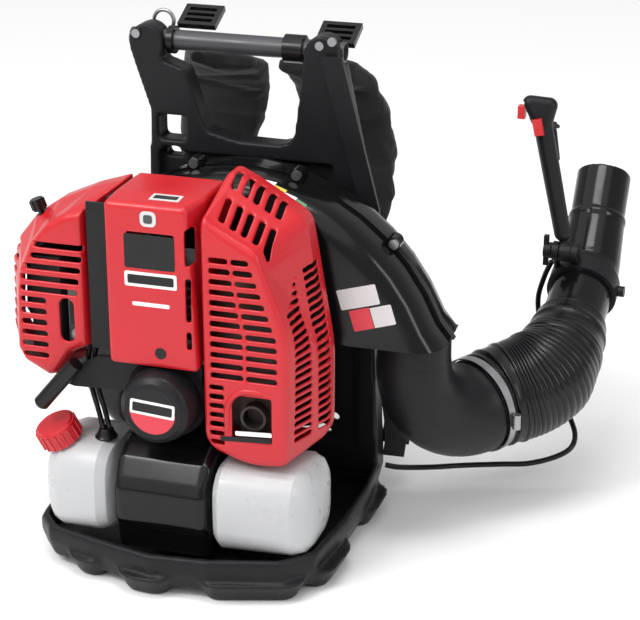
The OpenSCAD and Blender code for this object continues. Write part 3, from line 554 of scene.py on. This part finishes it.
HOSE_RUN = [mm(*p) for p in (
    (-70, -110, 140), (-71, -110, 148), (-76, -107, 163), (-84, -101, 180), (-88, -97, 197), (-89, -95, 216),
    (-86.5, -86, 232), (-86.5, -84, 247))]


def add_fuel_hoses():
    """Two hoses side by side, through one rubber grommet in the tank."""
    shift = mm(5.4, 3, 0)
    radius = 2.6 * MM
    for name, offset in (("fuel_hose_a", 0), ("fuel_hose_b", 1)):
        obj = hose(name, lambda u: through(HOSE_RUN, u) + offset * shift, lambda u: radius, 0, 1, 48, 18,
                   "rubber_black")
        stands_for(obj, "fuel_hoses")
    foot = Vector((-68 * MM, -108 * MM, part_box("fuel_hoses")[0].z))
    profile = [(h * MM, r * MM) for h, r in ((0, 11.2), (1.2, 11.4), (2.2, 10.4), (5, 9), (8.6, 7.6), (10, 6.6))]
    grommet = turned("hose_grommet", profile, foot, Vector((0, 0, 1)), 40, "rubber_black")
    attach(grommet, "frame")


def turned(name, profile, foot, axis, sides, material):
    """A solid of revolution from (height, radius) pairs."""
    turn = axis.to_track_quat("Z", "Y")
    rings = [[foot + turn @ Vector((r * math.cos(2 * math.pi * k / sides), r * math.sin(2 * math.pi * k / sides), h))
              for k in range(sides)] for h, r in profile]
    mesh = bpy.data.meshes.new(name)
    faces = [(j * sides + k, j * sides + (k + 1) % sides, (j + 1) * sides + (k + 1) % sides, (j + 1) * sides + k)
             for j in range(len(rings) - 1) for k in range(sides)]
    faces += [tuple(range(sides))[::-1], tuple((len(rings) - 1) * sides + k for k in range(sides))]
    mesh.from_pydata([v for ring in rings for v in ring], [], faces)
    smooth_shading(mesh, 40)
    return link_mesh(name, mesh, material)


# ---- padded and woven parts ----
def inflated(node, cap, voxel=5.0, shrink=2.0):
    """A pad: its CAD solid drawn in a little, blown up as cloth, capped, then subdivided."""
    obj = copy_of(node, node + "_cushion")
    remesh = obj.modifiers.new("remesh", "REMESH")
    remesh.mode = "VOXEL"
    remesh.voxel_size = voxel * MM
    draw_in = obj.modifiers.new("draw_in", "DISPLACE")
    draw_in.mid_level = 0
    draw_in.strength = -shrink * MM
    settle(obj)
    rest = [v.co.copy() for v in obj.data.vertices]
    cloth = obj.modifiers.new("cloth", "CLOTH")
    cloth.settings.use_pressure = True
    cloth.settings.uniform_pressure_force = 4
    cloth.settings.effector_weights.gravity = 0
    cloth.settings.quality = 5
    for number in range(1, 21):
        scene.frame_set(number)
    settle(obj)
    scene.frame_set(1)
    for vertex, start in zip(obj.data.vertices, rest):
        move = vertex.co - start
        if move.length > cap * MM:
            vertex.co = start + move.normalized() * cap * MM
    finer = obj.modifiers.new("finer", "SUBSURF")
    finer.levels = 1
    settle(obj)
    smooth_shading(obj.data, 70)
    stands_for(obj, node)
    return obj


def press_lines(obj, distance_to_line, depth, width):
    """Sinks sewn channels into a pad where distance_to_line(point) is near nought."""
    mesh = obj.data
    normals = [v.normal.copy() for v in mesh.vertices]
    for vertex, normal in zip(mesh.vertices, normals):
        gap = distance_to_line(vertex.co)
        vertex.co -= normal * depth * MM * math.exp(-((gap / (width * MM)) ** 2))
    mesh.update()


def add_starter_rope():
    """Rope that leaves the grommet and runs to the grip."""
    low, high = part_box("starter_rope")
    x, z = (low.x + high.x) / 2, (low.z + high.z) / 2
    inside, knot = Vector((x, high.y, z)), Vector((x, low.y - 2 * MM, z))
    rope = hose("pull_rope", lambda u: inside.lerp(knot, u), lambda u: 1.9 * MM, 0, 1, 40, 14, "rope_fibre")
    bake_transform(rope)
    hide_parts("starter_rope")


# ---- webbing ----
def ribbon(name, points, width, thickness, material):
    """Flat webbing with rounded selvedges along a smooth path, its width lying across X."""
    steps = 10 * (len(points) - 1)
    centres = [through(points, i / steps) for i in range(steps + 1)]
    section = [(-1, -0.3), (-0.96, -0.9), (0, -1), (0.96, -0.9), (1, -0.3), (1, 0.3), (0.96, 0.9), (0, 1),
               (-0.96, 0.9), (-1, 0.3)]
    count = len(section)
    rings = []
    for i, centre in enumerate(centres):
        turn = (centres[min(i + 1, steps)] - centres[max(i - 1, 0)]).normalized()
        out = Vector((1, 0, 0)).cross(turn).normalized()
        across = out.cross(turn).normalized()
        rings.append([centre + a * width / 2 * across + b * thickness / 2 * out for a, b in section])
    mesh = bpy.data.meshes.new(name)
    faces = [(j * count + k, j * count + (k + 1) % count, (j + 1) * count + (k + 1) % count, (j + 1) * count + k)
             for j in range(steps) for k in range(count)]
    faces += [tuple(range(count))[::-1], tuple(steps * count + k for k in range(count))]
    mesh.from_pydata([v for ring in rings for v in ring], [], faces)
    smooth_shading(mesh, 50)
    return link_mesh(name, mesh, material)


STRAP_RIGHT = [mm(*p) for p in ((110, 190, 249), (124, 182, 200), (142, 168, 140), (158, 150, 90), (166, 136, 60),
                                (167, 123, 40))]
STRAP_LEFT = [mm(*p) for p in ((-86, 190, 249), (-92, 182, 200), (-98, 168, 140), (-100, 150, 90), (-100, 136, 60),
                               (-100, 123, 40))]


def add_webbing():
    """The two lower straps, each with a ladder buckle near its foot."""
    for name, path in (("webbing_right", STRAP_RIGHT), ("webbing_left", STRAP_LEFT)):
        strap = ribbon(name, path, 24 * MM, 1.9 * MM, "web_fabric")
        stands_for(strap, "strap_webbing")
        ladder = block(name + "_ladder", path[4] + mm(0, 3.4, 0), (31, 4, 22), 1.2, "black_gloss", tilt=-28)
        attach(ladder, "frame")


# ---- small fittings and plain labels ----
def block(name, centre, size, radius, material, tilt=0.0):
    """A box with rounded edges. Size and radius are in millimetres, and tilt turns it about X."""
    mesh = bpy.data.meshes.new(name)
    work = bmesh.new()
    bmesh.ops.create_cube(work, size=1)
    bmesh.ops.scale(work, vec=Vector(size) * MM, verts=work.verts)
    bmesh.ops.bevel(work, geom=work.edges[:], offset=radius * MM, segments=4, profile=0.5, affect="EDGES")
    turn = Matrix.Rotation(math.radians(tilt), 4, "X")
    bmesh.ops.transform(work, matrix=Matrix.Translation(centre) @ turn, verts=work.verts)
    work.to_mesh(mesh)
    work.free()
    smooth_shading(mesh, 40)
    return link_mesh(name, mesh, material)


def slab(name, front, back, material):
    """A thin solid between two outlines with the same number of points."""
    count = len(front)
    caps = [tuple(range(count)), tuple(range(2 * count - 1, count - 1, -1))]
    sides = [(k, count + k, count + (k + 1) % count, (k + 1) % count) for k in range(count)]
    mesh = bpy.data.meshes.new(name)
    mesh.from_pydata(front + back, [], caps + sides)
    return link_mesh(name, mesh, material)


LABEL_SUNK = 0.2  # how far a label goes into the face behind it, in millimetres
QUARTER_STEPS = 8
HALF_LINE = -1.5  # height of the upper edge of a half-round label, in millimetres from its middle


def label(name, centre, width, height, corner, material, roll=0.0, lift=0.25, lower_half=False):
    """A thin blank plate that faces the engine side. Sizes are in millimetres."""
    w, h = width / 2 - corner, height / 2 - corner
    outline = []
    for quarter, (sx, sz) in enumerate(((1, 1), (-1, 1), (-1, -1), (1, -1))):
        for step in range(QUARTER_STEPS + 1):
            a = math.radians(90 * quarter + 90 * step / QUARTER_STEPS)
            outline.append((sx * w + corner * math.cos(a), sz * h + corner * math.sin(a)))
    if lower_half:
        outline = [(x, min(z, HALF_LINE)) for x, z in outline]
    spin = math.radians(roll)
    outline = [(x * math.cos(spin) - z * math.sin(spin), x * math.sin(spin) + z * math.cos(spin)) for x, z in outline]
    front = [centre + mm(x, -lift, z) for x, z in outline]
    back = [centre + mm(x, LABEL_SUNK, z) for x, z in outline]
    obj = slab(name, front, back, material)
    work = bmesh.new()
    work.from_mesh(obj.data)
    bmesh.ops.remove_doubles(work, verts=work.verts, dist=0.001 * MM)
    bmesh.ops.recalc_face_normals(work, faces=work.faces)
    work.to_mesh(obj.data)
    work.free()
    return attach(obj, "frame")


def sticker(name, spot, normal, along, width, height, material):
    """A thin plate lying on a sloping face, its width running along `along`. Sizes are in millimetres."""
    u = (along - along.dot(normal) * normal).normalized()
    v = normal.cross(u)
    corners = [spot + MM * (a * width / 2 * u + b * height / 2 * v) for a, b in ((-1, -1), (1, -1), (1, 1), (-1, 1))]
    proud, sunk = 0.45 * MM, 0.6 * MM
    plate = slab(name, [c + proud * normal for c in corners], [c - sunk * normal for c in corners], material)
    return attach(plate, "frame")


def touched(node, start, direction):
    """Where a ray first meets a CAD node, and the outward normal there."""
    mesh = nodes[node].data
    tree = BVHTree.FromPolygons([v.co for v in mesh.vertices], [tuple(p.vertices) for p in mesh.polygons])
    spot, normal, _, _ = tree.ray_cast(start, direction.normalized())
    return spot, (normal if normal.dot(direction) < 0 else -normal).normalized()


SHADE_SHEET_Y, SHADE_SHEET_THICK = -37.6, 1.2  # the painted-shade sheets, just behind the covers, in millimetres


def add_shade_sheet(name, cover, x_from, shrink):
    """A dark sheet of painted shade behind a vented cover, so that its slots look into shade."""
    points = [(v.co.x, v.co.z) for v in nodes[cover].data.vertices]
    outline = [points[i] for i in convex_hull_2d(points)]
    cx = sum(p[0] for p in outline) / len(outline)
    cz = sum(p[1] for p in outline) / len(outline)
    outline = [(max(x_from * MM, cx + (x - cx) * shrink), cz + (z - cz) * shrink) for x, z in outline]
    front = [Vector((x, SHADE_SHEET_Y * MM, z)) for x, z in outline]
    back = [Vector((x, (SHADE_SHEET_Y + SHADE_SHEET_THICK) * MM, z)) for x, z in outline]
    shade_sheet = slab(name, front, back, "black_matte")
    weld(shade_sheet.data)
    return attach(shade_sheet, "frame")


def add_window_arch():
    """The raised red rib round the exhaust window."""
    low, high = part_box("exhaust_outlet")
    cx, cz = (low.x + high.x) / 2, (low.z + high.z) / 2
    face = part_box("right_cover")[0].y
    run = [(-25, -18), (-25, -4), (-24.5, 10), (-19, 22), (-9, 28.5), (2, 29.5), (13, 27)]
    points = [Vector((cx + x * MM, face + 1.2 * MM, cz + z * MM)) for x, z in run]
    thins = lambda u: (3.2 - 1.6 * abs(2 * u - 1) ** 6) * MM
    rib = hose("window_arch", lambda u: through(points, u), thins, 0, 1, 48, 16, "red_shell")
    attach(rib, "frame")


# On the rim of the fan case: x, z, length in millimetres, and finish
RIM_STRIP = ((70, 380, 15, "label_white"), (83, 373, 13, "label_yellow"), (95, 366, 13, "label_white"),
             (106, 359.5, 11, "label_green"))


def add_labels():
    """Blank plates where the machine carries its labels, and black plates of painted shade at a screw recess and a
    slot.
    """
    low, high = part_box("centre_cover")
    face = low.y
    middle = (low.x + high.x) / 2
    at = lambda dx, z: Vector((middle + dx * MM, face, z * MM))
    label("window_panel", at(0, 345), 51, 34, 2, "black_gloss")
    label("bar_frame", at(0.5, 317), 53, 15, 2, "label_white")
    label("bar_inset", at(0.5, 317), 47, 9, 1.5, "black_gloss", lift=0.4)
    label("plain_strip", at(0, 292), 38, 4, 1.5, "label_white", lift=0.2)
    label("badge_plate", at(0, 378), 16, 15, 5, "label_silver", lift=0.9)
    label("badge_inset", at(0, 378), 9, 8.5, 2.5, "bar_steel", lift=1.2)
    low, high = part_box("cover_screws")
    head = Vector(((low.x + high.x) / 2, face, (low.z + high.z) / 2))
    # A black disc painted as the shade of the recess round the cover screw.
    label("screw_recess_shade", head, 11.5, 11.5, 5.7, "black_gloss", lift=0.3)
    for number, (x, z, length, material) in enumerate(RIM_STRIP):
        spot, normal = touched("fan_case_front", mm(x, -300, z + 118), mm(0, 300, -118))
        sticker("rim_strip_%d" % number, spot, normal, Vector((1, 0, -0.56)), length, 8, material)
    spot, normal = touched("centre_cover", mm(6, -112, 600), Vector((0, 0, -1)))
    sticker("top_plate", spot, normal, Vector((1, 0, 0)), 30, 15, "label_silver")
    sticker("top_inset", spot + 0.2 * MM * normal, normal, Vector((1, 0, 0)), 24, 8, "black_gloss")
    hub = Vector((0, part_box("starter_housing")[0].y, joints["crank_spin"]["pos_m"][2]))
    label("starter_disc", hub, 50, 50, 25, "black_matte", lift=0.2)
    label("starter_red", hub, 47, 47, 23.5, "label_red", lift=0.35, lower_half=True)
    label("starter_frame", hub + mm(0, 0, 3), 46, 15, 2, "label_white", lift=0.5, roll=-4)
    label("starter_inset", hub + mm(0, 0, 3), 41, 9.5, 1.5, "black_gloss", lift=0.65, roll=-4)
    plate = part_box("fan_case_front")[0].y
    label("case_white", Vector((168 * MM, plate, 279 * MM)), 41, 21, 1.5, "label_silver", roll=16)
    label("case_red", Vector((172 * MM, plate, 256 * MM)), 22, 22, 1.5, "label_red", roll=17)
    label("case_pale", Vector((193 * MM, plate, 262 * MM)), 23, 21, 1.5, "label_silver", roll=17)
    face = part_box("right_cover")[0].y
    label("cover_strip", Vector((95 * MM, face, 168 * MM)), 37, 4.5, 1, "label_white", lift=0.4, roll=4)
    # A black strip painted as the shade inside a slot in the right cover.
    label("cover_slot_shade", Vector((87 * MM, face, 161 * MM)), 52, 5, 1, "black_matte", lift=0.25, roll=4)


add_camera()
add_studio()
add_flexible_pipe()
add_throttle_cable()
add_fuel_hoses()
add_webbing()
add_starter_rope()
add_labels()
add_window_arch()
# Dark sheets of painted shade behind the two vented covers
add_shade_sheet("left_shade_sheet", "left_cover", -200, 0.93)
add_shade_sheet("right_shade_sheet", "right_cover", 63, 0.95)

# How far a point of each pad may move as it is blown up, in millimetres
PADS = {"shoulder_pad_left": 6, "shoulder_pad_right": 6, "back_pad": 7}
CHANNEL_DEPTH, CHANNEL_WIDTH = 1.2, 5
for name, reach in PADS.items():
    pad = inflated(name, reach)
    pad_low, pad_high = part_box(name)
    rows = [pad_low.z + share * (pad_high.z - pad_low.z) for share in (0.2, 0.4, 0.6, 0.8)]
    press_lines(pad, lambda co: min(abs(co.z - z) for z in rows), CHANNEL_DEPTH, CHANNEL_WIDTH)

# Voxel size in millimetres and how many times the edges are relaxed
MOULDED = {
    "backframe": (2.3, 5), "left_cover": (1.3, 6), "centre_cover": (1.4, 4), "right_cover": (1.3, 4),
    "tank_saddle": (1.8, 4), "elbow": (1.8, 5), "blow_pipe": (1.5, 4), "control_handle": (1.0, 5),
    "throttle_trigger": (0.7, 4),
}
for name, settings in MOULDED.items():
    moulded(name, *settings)
for name, obj in nodes.items():
    if not obj.hide_render:
        dressed(name)
